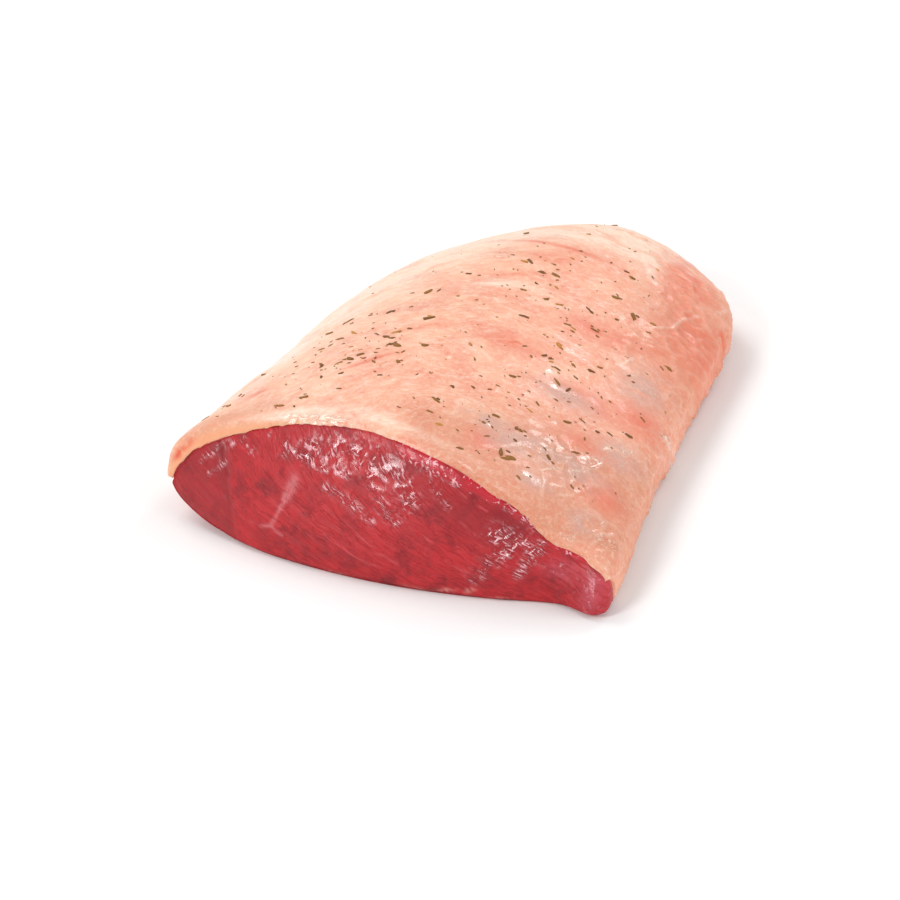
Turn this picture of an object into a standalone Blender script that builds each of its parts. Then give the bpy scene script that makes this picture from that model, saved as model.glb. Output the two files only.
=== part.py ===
"""Raw picanha: a slab of lean beef under its fat cap, cut across at the front.

Metres, +Z up. The cut face looks along -Y and the thick side is at -X. The origin is
at the middle of the bounding box, on the surface that the meat rests on.

The lean and the cap are both wrapped round one outer form, the hide. A place on it is
given by an angle round the slab (0 at the thin side, a quarter turn at the crown), a
share of the length (0 on the cut, 1 at the rear tip) and a depth below the surface.
"""

import math
import random

import bmesh
import bpy
import numpy as np
from mathutils import Matrix, Vector

NAME = "raw_picanha"

# Outline of the slab, given along Y at four stations
STATIONS = (-0.134, -0.050, 0.030, 0.110)
LEFT_X = (-0.0959, -0.0867, -0.0742, -0.0524)
RIGHT_X = (0.0955, 0.0864, 0.0817, 0.0910)
CROWN_Z = (0.0544, 0.0575, 0.0554, 0.0512)
FRONT_Y = -0.1327
REAR_Y = 0.1327
SHOULDER_Y = 0.0354                 # the outline closes from here to the rear tip
REAR_PLAN_ROUNDNESS = 2.3           # superellipse powers of the rear end
REAR_HEIGHT_ROUNDNESS = 2.9
REAR_DRIFT = 0.0075                 # how far the rear tip leans towards the thin side

# Section across the slab; each pair is its value at the front and at the rear
THIN_SIDE_DROP = (0.57, 0.57)       # share of the height lost between crest and thin side
THICK_SIDE_DROP = (0.18, 0.18)
CREST = (-0.10, -0.15)              # place of the crest, from -1 at the left to 1
LEFT_BELLY_Z = (0.0203, 0.0180)     # height of the widest point
RIGHT_BELLY_Z = (0.0064, 0.0140)
CREST_ROUNDING = 0.16
THIN_SIDE_FALL = 1.3                # powers of the fall from the crest to the sides
THICK_SIDE_FALL = 1.6
UNDERSIDE_FULLNESS = 1.3            # the underside closes this much later than the top
ROUNDNESS_ABOVE = (2.3, 3.4)        # superellipse powers, thick side and thin side
ROUNDNESS_BELOW = (2.8, 4.5)
FLATTENED = 0.00075                 # how far the weight has pressed the underside flat

# The cut: bowed in plan, leaning back as it rises, with a toe at the thin end
CUT_BOW = 0.0190
CUT_MIDDLE_X = 0.0120
CUT_HALF_WIDTH = 0.0893
CUT_LEAN_BACK = 0.0206
CUT_LEAN_POWER = 1.6
CUT_HEIGHT = 0.0536
CUT_CENTRE = (0.000, 0.020)         # X and Z that the face's grid closes round
CUT_EDGE_ROUNDING = 0.0018
TOE = 0.0132
TOE_X = 0.0908
TOE_HALF_WIDTH = 0.0122
TOE_HEIGHT = 0.020

# Fat cap
FAT_STATIONS = (-1.0, -0.4, 0.7, 1.0)           # across, from thick side to thin side
FAT_THICKNESS = (0.0060, 0.0018, 0.0021, 0.0018)
FAT_EDGE_AT_CUT = (-0.14, 0.28)    # how far down the flanks it reaches, thick and thin side
FAT_EDGE_BEHIND = -0.50
FAT_EDGE_LENGTH = (0.30, 0.08)      # it is down there at these shares of the length
FAT_EDGE_TAPER = 0.35               # over this much of the flank it thins to its edge
FAT_EDGE_SHARE = (0.30, 0.60)       # share of the thickness left there
FAT_LIP = 0.0016                    # how far it stands out at the cut's thick end
FAT_LIP_ACROSS = 0.45               # the lip grows from here to the thick side
FAT_LIP_LENGTH = 0.13               # and is gone at this share of the length
FAT_RIM_ROUNDING = 0.0004
GAP = 0.0004                        # between the cap and the lean
TUCK = 0.15                         # the lean comes out over this much below the edge

# Soft swellings and dents: place across, share of the length, reach, height
LUMPS = (
    (-0.92, 0.34, 0.030, -0.0016),
    (-0.60, 0.62, 0.040, 0.0007),
    (0.55, 0.30, 0.030, -0.0008),
    (0.92, 0.48, 0.022, 0.0010),
    (0.88, 0.72, 0.018, -0.0010),
    (0.30, 0.80, 0.035, 0.0008),
    (0.520, 0.00, 0.0120, -0.0014),
    (0.800, 0.00, 0.0145, -0.0050),
)

# Grids over each piece: cells across, along and down
LEAN_CELLS = (30, 22, 8)          # the grids match where the pieces face each other
CAP_CELLS = (30, 22, 5)
GRID_EDGE = -0.25                   # row of the grids that lies along the cap's edge
LAST_LENGTH = 0.965                 # where the flanks hand over to the rear end
ROW_CROWDING = 1.5                  # rows lie closer towards the rear end
BLOCK_END = 0.999                   # past this a place is on an end face of the block

# Herb flakes: places across and along, spread of each sprinkle, and its share
SPRINKLES = (
    (0.15, 0.42, 0.50, 0.26, 0.35),
    (-0.40, 0.26, 0.17, 0.08, 0.17),
    (0.12, 0.66, 0.18, 0.09, 0.06),
    (0.48, 0.60, 0.16, 0.10, 0.08),
    (0.50, 0.34, 0.20, 0.10, 0.12),
    (0.42, 0.14, 0.22, 0.07, 0.16),
    (-0.65, 0.12, 0.16, 0.07, 0.06),
)
SEED = 24
FLAKES_SPRINKLED = 330
FLAKES_IN_SOLID = 110               # the largest of them
FLAKE_LENGTH = (0.0013, 0.0060)
FLAKE_SLIMNESS = (0.28, 0.55)
FLAKE_THICKNESS = 0.0011
FLAKE_SINK = 0.0002                 # how far their middles lie below the hide
FLAKE_SPACING = 0.0058
FLAKE_TURN = 0.6                    # spread of their turns, in radians
FLAKE_SMALLNESS = 2.4               # a higher power makes more of them small
FLAKE_AREA = ((-0.97, 0.97), (0.015, 0.95))     # across and along
FLAKE_ROUGHNESS = (0.85, 1.10)

ROUND_ANGLE = math.radians(50)
SMALL_STEP = 0.01


def along(values, y):
    """A value at y, on the smooth curve through its four stations."""
    return np.polyval(np.polyfit(STATIONS, values, len(STATIONS) - 1), y)


def blend(pair, share):
    return pair[0] + (pair[1] - pair[0]) * share


def rise(value, start, end):
    """0 before start, 1 after end and a smooth step between."""
    share = np.clip((value - start) / (end - start), 0, 1)
    return share * share * (3 - 2 * share)


def squared(wave, power):
    """A sine or cosine, made the wave of a superellipse."""
    return np.sign(wave) * np.abs(wave) ** (2 / power)


def eased(value, power):
    """A power whose start is rounded, so that it leaves no crease."""
    return (value ** 2 + CREST_ROUNDING ** 2) ** (power / 2) - CREST_ROUNDING ** power


def closing(share, power):
    """What is left of a section at this share of the way to the rear tip."""
    return (1 - np.clip(share, 0, 1) ** power) ** (1 / power)


def place_across(angle):
    """Place across the slab, from -1 at the thick side to 1 at the thin side."""
    wave = np.cos(angle)
    above = np.where(wave > 0, ROUNDNESS_ABOVE[1], ROUNDNESS_ABOVE[0])
    below = np.where(wave > 0, ROUNDNESS_BELOW[1], ROUNDNESS_BELOW[0])
    power = np.where(np.sin(angle) > 0, above, below)
    return squared(wave, power), squared(np.sin(angle), power)


def lumps(across, length):
    """Height of the swellings and dents."""
    height = 0
    for place, share, reach, top in LUMPS:
        far = np.hypot((across - place) * RIGHT_X[0], (length - share) * (REAR_Y - FRONT_Y))
        height = height + top * np.exp(-((far / reach) ** 2))
    return height


def cut_y(x, z):
    """Y of the cut surface at this place on it."""
    bow = CUT_BOW * ((x - CUT_MIDDLE_X) / CUT_HALF_WIDTH) ** 2
    lean_back = CUT_LEAN_BACK * (np.maximum(z, 0) / CUT_HEIGHT) ** CUT_LEAN_POWER
    toe = TOE * np.exp(-(((x - TOE_X) / TOE_HALF_WIDTH) ** 2) - (z / TOE_HEIGHT) ** 2)
    return FRONT_Y + bow + lean_back - toe


def hide(angle, length, depth):
    """X, Y and Z of places at a depth below the outer form."""
    across, up = place_across(angle)
    depth = depth - lumps(across, length)
    rear = REAR_Y - depth
    y = FRONT_Y + (rear - FRONT_Y) * length
    for _ in range(3):      # the section depends on y, and y on the section
        left, right, crown = (along(values, y) for values in (LEFT_X, RIGHT_X, CROWN_Z))
        share = np.clip((y - FRONT_Y) / (REAR_Y - FRONT_Y), 0, 1)
        to_rear = np.clip((y - SHOULDER_Y) / (rear - SHOULDER_Y), 0, 1)
        wide = closing(to_rear, REAR_PLAN_ROUNDNESS)
        high = closing(to_rear, REAR_HEIGHT_ROUNDNESS)
        half_width = (right - left) / 2 - depth
        x = (left + right) / 2 + REAR_DRIFT * (1 - wide) + half_width * wide * across
        belly = blend((blend(LEFT_BELLY_Z, share), blend(RIGHT_BELLY_Z, share)), (across + 1) / 2)
        crest = blend(CREST, share)
        thin = np.clip((across - crest) / (1 - crest), 0, 1)
        thick = np.clip((crest - across) / (1 + crest), 0, 1)
        drop = blend(THIN_SIDE_DROP, share) * eased(thin, THIN_SIDE_FALL)
        drop = drop + blend(THICK_SIDE_DROP, share) * eased(thick, THICK_SIDE_FALL)
        top = crown * (1 - drop) - depth
        above = belly + (top - belly) * up * high
        below = belly * (1 + up * np.minimum(1, high * UNDERSIDE_FULLNESS))
        z = np.maximum(np.where(up > 0, above, below) - FLATTENED, 0)
        y = cut_y(x, z) * (1 - length) + rear * length
    return x, y, z


def ring_of(u, w):
    """How far out a place is on an end face of the block: 0 in the middle, 1 at the rim."""
    return np.maximum(np.maximum(np.abs(u), np.abs(w)), 1e-4)


def unwrap(u, v, w):
    """Angle and length of places on a block from -1 to 1, whose +Z face wraps over the
    crown and whose -Y face is the cut."""
    ring = ring_of(u, w)
    flank = np.where(u > 0, w / ring, 4 - w / ring)
    level = np.where(w > 0, 2 - u / ring, 6 + u / ring)
    angle = np.where(np.abs(u) >= np.abs(w), flank, level) * math.pi / 4
    length = LAST_LENGTH * (1 - (1 - (v + 1) / 2) ** ROW_CROWDING)
    last_y = FRONT_Y + LAST_LENGTH * (REAR_Y - FRONT_Y)
    last_share = (last_y - SHOULDER_Y) / (REAR_Y - SHOULDER_Y)
    left_over = closing(last_share, REAR_PLAN_ROUNDNESS) * ring
    rear_y = SHOULDER_Y + closing(left_over, REAR_PLAN_ROUNDNESS) * (REAR_Y - SHOULDER_Y)
    rear_length = (rear_y - FRONT_Y) / (REAR_Y - FRONT_Y)
    return angle, np.where(v > BLOCK_END, rear_length, length)


def fat_edge(side, length):
    """Height on the flank of the cap's lower edge; side is -1 on the thick one, 1 on the thin."""
    at_cut = blend(FAT_EDGE_AT_CUT, (side + 1) / 2)
    reach = blend(FAT_EDGE_LENGTH, (side + 1) / 2)
    return blend((at_cut, FAT_EDGE_BEHIND), rise(length, 0, reach))


def flank_height(row, side, length):
    """Height on the flank of a row of the grids."""
    edge = fat_edge(side, length)
    above = edge + (row - GRID_EDGE) / (1 - GRID_EDGE) * (1 - edge)
    below = -1 + (row + 1) / (GRID_EDGE + 1) * (edge + 1)
    return np.where(row > GRID_EDGE, above, below)


def fat_depth(height, angle, length):
    """Thickness of the cap, which thins towards its lower edge."""
    across = place_across(angle)[0]
    edge = fat_edge(across, length)
    at_edge = blend(FAT_EDGE_SHARE, (across + 1) / 2)
    left_over = blend((at_edge, 1), rise(height, edge, edge + FAT_EDGE_TAPER))
    return left_over * np.interp(across, FAT_STATIONS, FAT_THICKNESS)


def fat_lip(angle, length):
    """How far the cap stands out of the hide at the thick end of the cut."""
    thick_end = rise(-place_across(angle)[0], FAT_LIP_ACROSS, 1)
    return FAT_LIP * thick_end * (1 - rise(length, 0, FAT_LIP_LENGTH))


def lean_points(u, v, w):
    """Places on the lean: under the cap on top, out to the hide below it."""
    on_cut = v < -BLOCK_END
    shrink = np.where(on_cut, ring_of(u, w), 1)
    side, row = u / shrink, w / shrink
    height = flank_height(row, side, unwrap(u, v, w)[1])
    angle, length = unwrap(side, v, height)
    edge = fat_edge(place_across(angle)[0], length)
    covered = rise(height, edge - TUCK, edge)
    x, y, z = hide(angle, length, covered * (fat_depth(height, angle, length) + GAP))
    x = CUT_CENTRE[0] + (x - CUT_CENTRE[0]) * shrink
    z = CUT_CENTRE[1] + (z - CUT_CENTRE[1]) * shrink
    return np.stack((x, np.where(on_cut, cut_y(x, z), y), z), axis=1)


def cap_points(u, v, w, inner):
    """Places on the two faces of the cap, whose block stops at the cap's lower edge."""
    row = GRID_EDGE + (w + 1) / 2 * (1 - GRID_EDGE)
    height = flank_height(row, u, unwrap(u, v, row)[1])
    angle, length = unwrap(u, v, height)
    depth = blend((-fat_lip(angle, length), fat_depth(height, angle, length)), inner)
    return np.stack(hide(angle, length, depth), axis=1)


def block(cells):
    """A cube of side 2 whose faces are grids, with this many cells along X, Y and Z."""
    bm = bmesh.new()
    bmesh.ops.create_cube(bm, size=2)
    for axis, count in enumerate(cells):
        edges = [e for e in bm.edges if abs((e.verts[0].co - e.verts[1].co)[axis]) > 1]
        bmesh.ops.subdivide_edges(bm, edges=edges, cuts=count - 1, use_grid_fill=True)
    return bm


def move_to(bm, points):
    for vert, point in zip(bm.verts, points):
        vert.co = point


def round_rim(bm, width):
    """Rounds the sharp edges, where the knife has left a corner."""
    bm.normal_update()
    sharp = [e for e in bm.edges if e.calc_face_angle(0) > ROUND_ANGLE]
    bmesh.ops.bevel(bm, geom=sharp, offset=width, segments=2, profile=0.5,
                    affect="EDGES", clamp_overlap=True, material=-1)


def new_object(name, bm, material, collection):
    bmesh.ops.recalc_face_normals(bm, faces=bm.faces)
    mesh = bpy.data.meshes.new(name)
    bm.to_mesh(mesh)
    bm.free()
    mesh.materials.append(material)
    mesh.shade_smooth()
    mesh.set_sharp_from_angle(angle=ROUND_ANGLE)
    obj = bpy.data.objects.new(name, mesh)
    collection.objects.link(obj)
    return obj


def new_material(name, colour, roughness):
    material = bpy.data.materials.new(name)
    material.use_nodes = True
    shader = material.node_tree.nodes["Principled BSDF"]
    shader.inputs["Base Color"].default_value = (*colour, 1)
    shader.inputs["Roughness"].default_value = roughness
    shader.inputs["Metallic"].default_value = 0
    return material


def make_lean(collection):
    bm = block(LEAN_CELLS)
    u, v, w = np.array([vert.co for vert in bm.verts]).T
    move_to(bm, lean_points(u, v, w))
    round_rim(bm, CUT_EDGE_ROUNDING)
    return new_object("lean", bm, new_material("lean meat", (0.42, 0.035, 0.04), 0.35), collection)


def make_fat_cap(collection):
    """A hood over the top, the flanks and the rear, open at the cut and below."""
    bm = block(CAP_CELLS)
    middles = [(face, face.calc_center_median()) for face in bm.faces]
    open_sides = [face for face, middle in middles if min(middle.y, middle.z) < -BLOCK_END]
    bmesh.ops.delete(bm, geom=open_sides, context="FACES")
    layer = bm.verts.layers.float.new("inner")
    grown = bmesh.ops.extrude_face_region(bm, geom=bm.faces[:])["geom"]
    for vert in grown:
        if isinstance(vert, bmesh.types.BMVert):
            vert[layer] = 1
    u, v, w = np.array([vert.co for vert in bm.verts]).T
    move_to(bm, cap_points(u, v, w, np.array([vert[layer] for vert in bm.verts])))
    bmesh.ops.recalc_face_normals(bm, faces=bm.faces)
    round_rim(bm, FAT_RIM_ROUNDING)
    return new_object("fat_cap", bm, new_material("beef fat", (0.84, 0.52, 0.38), 0.4), collection)


def sprinkle():
    """Across, length, turn, long and short side of each flake, the largest first."""
    draw = random.Random(SEED)
    flakes = []
    for across, length, spread, reach, share in SPRINKLES:
        for _ in range(round(FLAKES_SPRINKLED * share)):
            place = across + draw.gauss(0, spread)
            back = length + draw.gauss(0, reach)
            turn = draw.gauss(0, FLAKE_TURN)
            size = blend(FLAKE_LENGTH, draw.random() ** FLAKE_SMALLNESS)
            slim = blend(FLAKE_SLIMNESS, draw.random())
            if all(low < at < high for at, (low, high) in zip((place, back), FLAKE_AREA)):
                flakes.append((place, back, turn, size, size * slim))
    return sorted(flakes, key=lambda flake: -flake[3])


def hide_angle(across):
    """The angle above the belly line at this place across."""
    power = ROUNDNESS_ABOVE[across > 0]
    return math.acos(math.copysign(abs(across) ** (power / 2), across))


def hide_frame(across, length, turn):
    """Place on the hide and the axes there: along the turn, across it and outwards."""
    angle = hide_angle(across)
    here, round_it, back = (
        Vector(np.array(hide(np.array(a), np.array(b), 0.0)))
        for a, b in ((angle, length), (angle - SMALL_STEP, length), (angle, length + SMALL_STEP))
    )
    outward = (round_it - here).cross(back - here).normalized()
    first = Matrix.Rotation(turn, 3, outward) @ (round_it - here).normalized()
    return here, Matrix((first, outward.cross(first), outward)).transposed()


def spaced(flakes):
    """The largest flakes that lie clear of each other."""
    kept = []
    for flake in flakes:
        here, axes = hide_frame(*flake[:3])
        if all((here - other[0]).length > FLAKE_SPACING for other in kept):
            kept.append((here, axes, flake[3], flake[4]))
    return kept[:FLAKES_IN_SOLID]


def make_flakes(collection):
    draw = random.Random(SEED)
    for index, (here, axes, length, width) in enumerate(spaced(sprinkle())):
        bm = bmesh.new()
        bmesh.ops.create_icosphere(bm, subdivisions=1, radius=1)
        for vert in bm.verts:
            vert.co *= draw.uniform(*FLAKE_ROUGHNESS)
        size = Matrix.Diagonal((length / 2, width / 2, FLAKE_THICKNESS / 2))
        middle = Matrix.Translation(here - axes.col[2] * FLAKE_SINK)
        bmesh.ops.transform(bm, matrix=middle @ (axes @ size).to_4x4(), verts=bm.verts)
        mesh = bpy.data.meshes.new(f"flake_{index}")
        bm.to_mesh(mesh)
        bm.free()
        collection.objects.link(bpy.data.objects.new(mesh.name, mesh))


def fuse(obj, collection):
    """Joins everything in the collection to the object, and removes the collection."""
    union = obj.modifiers.new("fuse", "BOOLEAN")
    union.operation = "UNION"
    union.operand_type = "COLLECTION"
    union.collection = collection
    union.solver = "EXACT"
    graph = bpy.context.evaluated_depsgraph_get()
    mesh = bpy.data.meshes.new_from_object(obj.evaluated_get(graph))
    obj.modifiers.remove(union)
    obj.data = mesh
    for helper in list(collection.objects):
        bpy.data.objects.remove(helper, do_unlink=True)
    bpy.data.collections.remove(collection)


def main():
    for obj in list(bpy.data.objects):
        bpy.data.objects.remove(obj, do_unlink=True)
    parts = bpy.data.collections.new(NAME)
    flakes = bpy.data.collections.new("flakes")
    for collection in (parts, flakes):
        bpy.context.scene.collection.children.link(collection)
    make_lean(parts)
    cap = make_fat_cap(parts)
    make_flakes(flakes)
    fuse(cap, flakes)


main()
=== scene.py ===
import math
import random

import bmesh
import bpy
import numpy as np
from mathutils import Matrix, Vector, noise
from mathutils.bvhtree import BVHTree


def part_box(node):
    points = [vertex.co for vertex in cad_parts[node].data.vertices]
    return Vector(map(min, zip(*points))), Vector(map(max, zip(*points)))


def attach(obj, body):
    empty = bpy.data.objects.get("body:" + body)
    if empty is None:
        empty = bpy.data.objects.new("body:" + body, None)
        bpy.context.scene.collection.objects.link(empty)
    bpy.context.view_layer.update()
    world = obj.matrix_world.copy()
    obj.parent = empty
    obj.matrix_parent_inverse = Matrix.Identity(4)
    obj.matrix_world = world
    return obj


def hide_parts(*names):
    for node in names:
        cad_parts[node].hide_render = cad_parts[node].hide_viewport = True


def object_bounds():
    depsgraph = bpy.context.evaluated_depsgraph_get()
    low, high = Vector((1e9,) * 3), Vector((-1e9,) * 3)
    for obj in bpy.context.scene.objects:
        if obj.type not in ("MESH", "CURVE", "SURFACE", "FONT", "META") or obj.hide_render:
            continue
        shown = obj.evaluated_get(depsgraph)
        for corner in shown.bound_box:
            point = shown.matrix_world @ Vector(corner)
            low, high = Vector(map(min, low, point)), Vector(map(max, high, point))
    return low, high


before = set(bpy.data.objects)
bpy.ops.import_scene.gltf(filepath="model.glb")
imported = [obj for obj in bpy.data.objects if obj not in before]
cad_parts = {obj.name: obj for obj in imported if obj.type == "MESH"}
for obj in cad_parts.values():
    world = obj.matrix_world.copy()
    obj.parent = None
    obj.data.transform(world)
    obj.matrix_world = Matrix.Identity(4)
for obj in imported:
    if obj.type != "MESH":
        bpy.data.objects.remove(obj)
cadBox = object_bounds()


# The slab: one outer form that the lean and the fat are both wrapped round.
# A place on it is an angle round it (0 at the thin side, a quarter turn at the crown),
# a share of its length (0 on the cut, 1 at the rear tip) and a depth below its surface.
slab = {
    "rearY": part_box("fat_cap")[1][1],
    "stations": (-0.134, -0.050, 0.030, 0.110),   # along Y, for the next three
    "leftX": (-0.0959, -0.0867, -0.0742, -0.0524),
    "rightX": (0.0955, 0.0864, 0.0817, 0.0910),
    "crownZ": (0.0544, 0.0575, 0.0554, 0.0512),
    "shoulderY": 0.0354,             # the outline closes from here to the rear tip
    "planRoundness": 2.3,
    "heightRoundness": 2.9,
    "rearDrift": 0.0075,             # the rear tip leans towards the thin side
    "thinSideDrop": (0.57, 0.57),    # pairs are a value at the front and at the rear
    "thickSideDrop": (0.18, 0.18),
    "thinSidePower": 1.3,
    "thickSidePower": 1.6,
    "crest": (-0.10, -0.15),
    "crestRounding": 0.16,
    "leftBellyZ": (0.0203, 0.0180),
    "rightBellyZ": (0.0064, 0.0140),
    "bellyHold": 1.3,                # how long the underside stays down towards the rear tip
    "roundnessAbove": (2.3, 3.4),    # thick side and thin side
    "roundnessBelow": (2.8, 4.5),
    "flattened": 0.00075,
    "lumps": (                       # across, share of the length, reach, height
        (-0.92, 0.34, 0.030, -0.0016),
        (-0.60, 0.62, 0.040, 0.0007),
        (0.55, 0.30, 0.030, -0.0008),
        (0.92, 0.48, 0.022, 0.0010),
        (0.88, 0.72, 0.018, -0.0010),
        (0.30, 0.80, 0.035, 0.0008),
        (0.520, 0.00, 0.0120, -0.0014),
        (0.800, 0.00, 0.0145, -0.0050),
    ),
}
slab["frontY"] = -slab["rearY"]
slab["span"] = slab["rearY"] - slab["frontY"]

cut = {
    "bow": 0.0190,
    "middleX": 0.0120,
    "halfWidth": 0.0893,
    "leanBack": 0.0206,
    "leanBackPower": 1.6,
    "height": 0.0536,
    "centre": (0.000, 0.020),
    "toe": 0.0132,
    "toeX": 0.0908,
    "toeHalfWidth": 0.0122,
    "toeHeight": 0.020,
}

fatLayer = {
    "stations": (-1.0, -0.4, 0.7, 1.0),           # across, from thick side to thin side
    "thickness": (0.0060, 0.0018, 0.0021, 0.0018),
    # its lower edge, as a row of the grids from -1 below to 1 on top, thick and thin side
    "edgeAtCut": (-0.14, 0.28),
    "edgeBehind": -0.50,
    "edgeLength": (0.30, 0.08),      # share of the length on which it goes down to there
    "edgeTaper": 0.35,
    "edgeShare": (0.30, 0.60),       # of the thickness, left at that edge
    "lip": 0.0016,                   # it stands out at the thick end of the cut
    "lipAcross": 0.45,
    "lipLength": 0.13,
    "gridEdge": -0.25,               # row of the grids along the lower edge
    "tuck": 0.15,
    "overlap": 0.00015,              # the lean reaches this far into it
}


def along(values, y):
    return np.polyval(np.polyfit(slab["stations"], values, 3), y)


def blend(pair, share):
    return pair[0] + (pair[1] - pair[0]) * share


def rise(value, start, end):         # 0 before start, 1 after end
    share = np.clip((value - start) / (end - start), 0, 1)
    return share * share * (3 - 2 * share)


def squared(wave, power):
    return np.sign(wave) * np.abs(wave) ** (2 / power)


def eased(value, power):
    rounding = slab["crestRounding"]
    return (value ** 2 + rounding ** 2) ** (power / 2) - rounding ** power


def closing(share, power):
    return (1 - np.clip(share, 0, 1) ** power) ** (1 / power)


def placeAcross(angle):
    wave = np.cos(angle)
    above = np.where(wave > 0, slab["roundnessAbove"][1], slab["roundnessAbove"][0])
    below = np.where(wave > 0, slab["roundnessBelow"][1], slab["roundnessBelow"][0])
    power = np.where(np.sin(angle) > 0, above, below)
    return squared(wave, power), squared(np.sin(angle), power)


def lumpHeight(across, length):
    height = 0
    for place, share, reach, top in slab["lumps"]:
        far = np.hypot((across - place) * slab["rightX"][0], (length - share) * slab["span"])
        height = height + top * np.exp(-((far / reach) ** 2))
    return height


def cutY(x, z):
    bow = cut["bow"] * ((x - cut["middleX"]) / cut["halfWidth"]) ** 2
    leanBack = cut["leanBack"] * (np.maximum(z, 0) / cut["height"]) ** cut["leanBackPower"]
    toe = ((x - cut["toeX"]) / cut["toeHalfWidth"]) ** 2 + (z / cut["toeHeight"]) ** 2
    return slab["frontY"] + bow + leanBack - cut["toe"] * np.exp(-toe)


def onHide(angle, length, depth):
    across, up = placeAcross(angle)
    depth = depth - lumpHeight(across, length)
    frontY, rearY, shoulderY = slab["frontY"], slab["rearY"], slab["shoulderY"]
    rear = rearY - depth
    y = frontY + (rear - frontY) * length
    for settle in range(3):          # the section depends on y, and y on the section
        left, right, crown = (along(slab[side], y) for side in ("leftX", "rightX", "crownZ"))
        share = np.clip((y - frontY) / slab["span"], 0, 1)
        toRear = np.clip((y - shoulderY) / (rear - shoulderY), 0, 1)
        wide = closing(toRear, slab["planRoundness"])
        high = closing(toRear, slab["heightRoundness"])
        halfWidth = (right - left) / 2 - depth
        x = (left + right) / 2 + slab["rearDrift"] * (1 - wide) + halfWidth * wide * across
        bellies = blend(slab["leftBellyZ"], share), blend(slab["rightBellyZ"], share)
        belly = blend(bellies, (across + 1) / 2)
        crest = blend(slab["crest"], share)
        thin = np.clip((across - crest) / (1 - crest), 0, 1)
        thick = np.clip((crest - across) / (1 + crest), 0, 1)
        drop = blend(slab["thinSideDrop"], share) * eased(thin, slab["thinSidePower"])
        drop = drop + blend(slab["thickSideDrop"], share) * eased(thick, slab["thickSidePower"])
        top = crown * (1 - drop) - depth
        above = belly + (top - belly) * up * high
        below = belly * (1 + up * np.minimum(1, high * slab["bellyHold"]))
        z = np.maximum(np.where(up > 0, above, below) - slab["flattened"], 0)
        y = cutY(x, z) * (1 - length) + rear * length
    return x, y, z


# The grids are a block from -1 to 1, whose +Z face wraps over the crown and whose
# -Y face is the cut. Rows crowd towards the cut, where its rim needs them.
grids = {
    "face": 0.999,                   # a place past this lies on that face
    "leastRing": 1e-4,
    "lastRow": 0.965,                # share of the length at which the rear face starts
    "rowPower": 1.5,
}


def ringOf(u, w):
    return np.maximum(np.maximum(np.abs(u), np.abs(w)), grids["leastRing"])


def unwrap(u, v, w, crowding):
    ring = ringOf(u, w)
    flank = np.where(u > 0, w / ring, 4 - w / ring)
    level = np.where(w > 0, 2 - u / ring, 6 + u / ring)
    angle = np.where(np.abs(u) >= np.abs(w), flank, level) * math.pi / 4
    last, roundness = grids["lastRow"], slab["planRoundness"]
    length = last * (1 - (1 - ((v + 1) / 2) ** crowding) ** grids["rowPower"])
    frontY, rearY, shoulderY = slab["frontY"], slab["rearY"], slab["shoulderY"]
    lastShare = (frontY + last * slab["span"] - shoulderY) / (rearY - shoulderY)
    leftOver = closing(lastShare, roundness) * ring
    rear = shoulderY + closing(leftOver, roundness) * (rearY - shoulderY)
    return angle, np.where(v > grids["face"], (rear - frontY) / slab["span"], length)


def fatEdge(side, length):
    atCut = blend(fatLayer["edgeAtCut"], (side + 1) / 2)
    reach = blend(fatLayer["edgeLength"], (side + 1) / 2)
    return blend((atCut, fatLayer["edgeBehind"]), rise(length, 0, reach))


def flankHeight(row, side, length):
    edge, gridEdge = fatEdge(side, length), fatLayer["gridEdge"]
    above = edge + (row - gridEdge) / (1 - gridEdge) * (1 - edge)
    below = -1 + (row + 1) / (gridEdge + 1) * (edge + 1)
    return np.where(row > gridEdge, above, below)


def fatDepth(height, angle, length):
    across = placeAcross(angle)[0]
    edge = fatEdge(across, length)
    atEdge = blend(fatLayer["edgeShare"], (across + 1) / 2)
    left = blend((atEdge, 1), rise(height, edge, edge + fatLayer["edgeTaper"]))
    return left * np.interp(across, fatLayer["stations"], fatLayer["thickness"])


def fatLip(angle, length):
    thickEnd = rise(-placeAcross(angle)[0], fatLayer["lipAcross"], 1)
    return fatLayer["lip"] * thickEnd * (1 - rise(length, 0, fatLayer["lipLength"]))


def rounded(distance, radius):       # a place near a corner, along its face and into it
    turn = math.pi / 4 * (1 + np.clip(distance / radius, 0, 1))
    near = distance < radius
    return np.where(near, radius * (1 - np.cos(turn)), distance), radius * (1 - np.sin(turn))


def block(cells):
    bm = bmesh.new()
    bmesh.ops.create_cube(bm, size=2)
    for axis, count in enumerate(cells):
        edges = [e for e in bm.edges if abs((e.verts[0].co - e.verts[1].co)[axis]) > 1.9]
        bmesh.ops.subdivide_edges(bm, edges=edges, cuts=count - 1, use_grid_fill=True)
    return bm


def gridPlaces(bm):
    return np.array([vert.co for vert in bm.verts]).T


def moveTo(bm, x, y, z):
    for vert, point in zip(bm.verts, np.stack((x, y, z), axis=1)):
        vert.co = point


# Relief: clouds are smooth noise, and every height is laid on along the normals
def cloud(points, reach, seed=0):
    reach = np.broadcast_to(reach, 3)
    return np.array([noise.noise(point) for point in points / reach + seed * 7.31])


def nearPath(a, b, path):            # distance to the nearest stretch of a path
    best = np.full(len(a), 1.0)
    for (a0, b0), (a1, b1) in zip(path, path[1:]):
        da, db = a1 - a0, b1 - b0
        share = np.clip(((a - a0) * da + (b - b0) * db) / (da * da + db * db), 0, 1)
        best = np.minimum(best, np.hypot(a - a0 - share * da, b - b0 - share * db))
    return best


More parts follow.
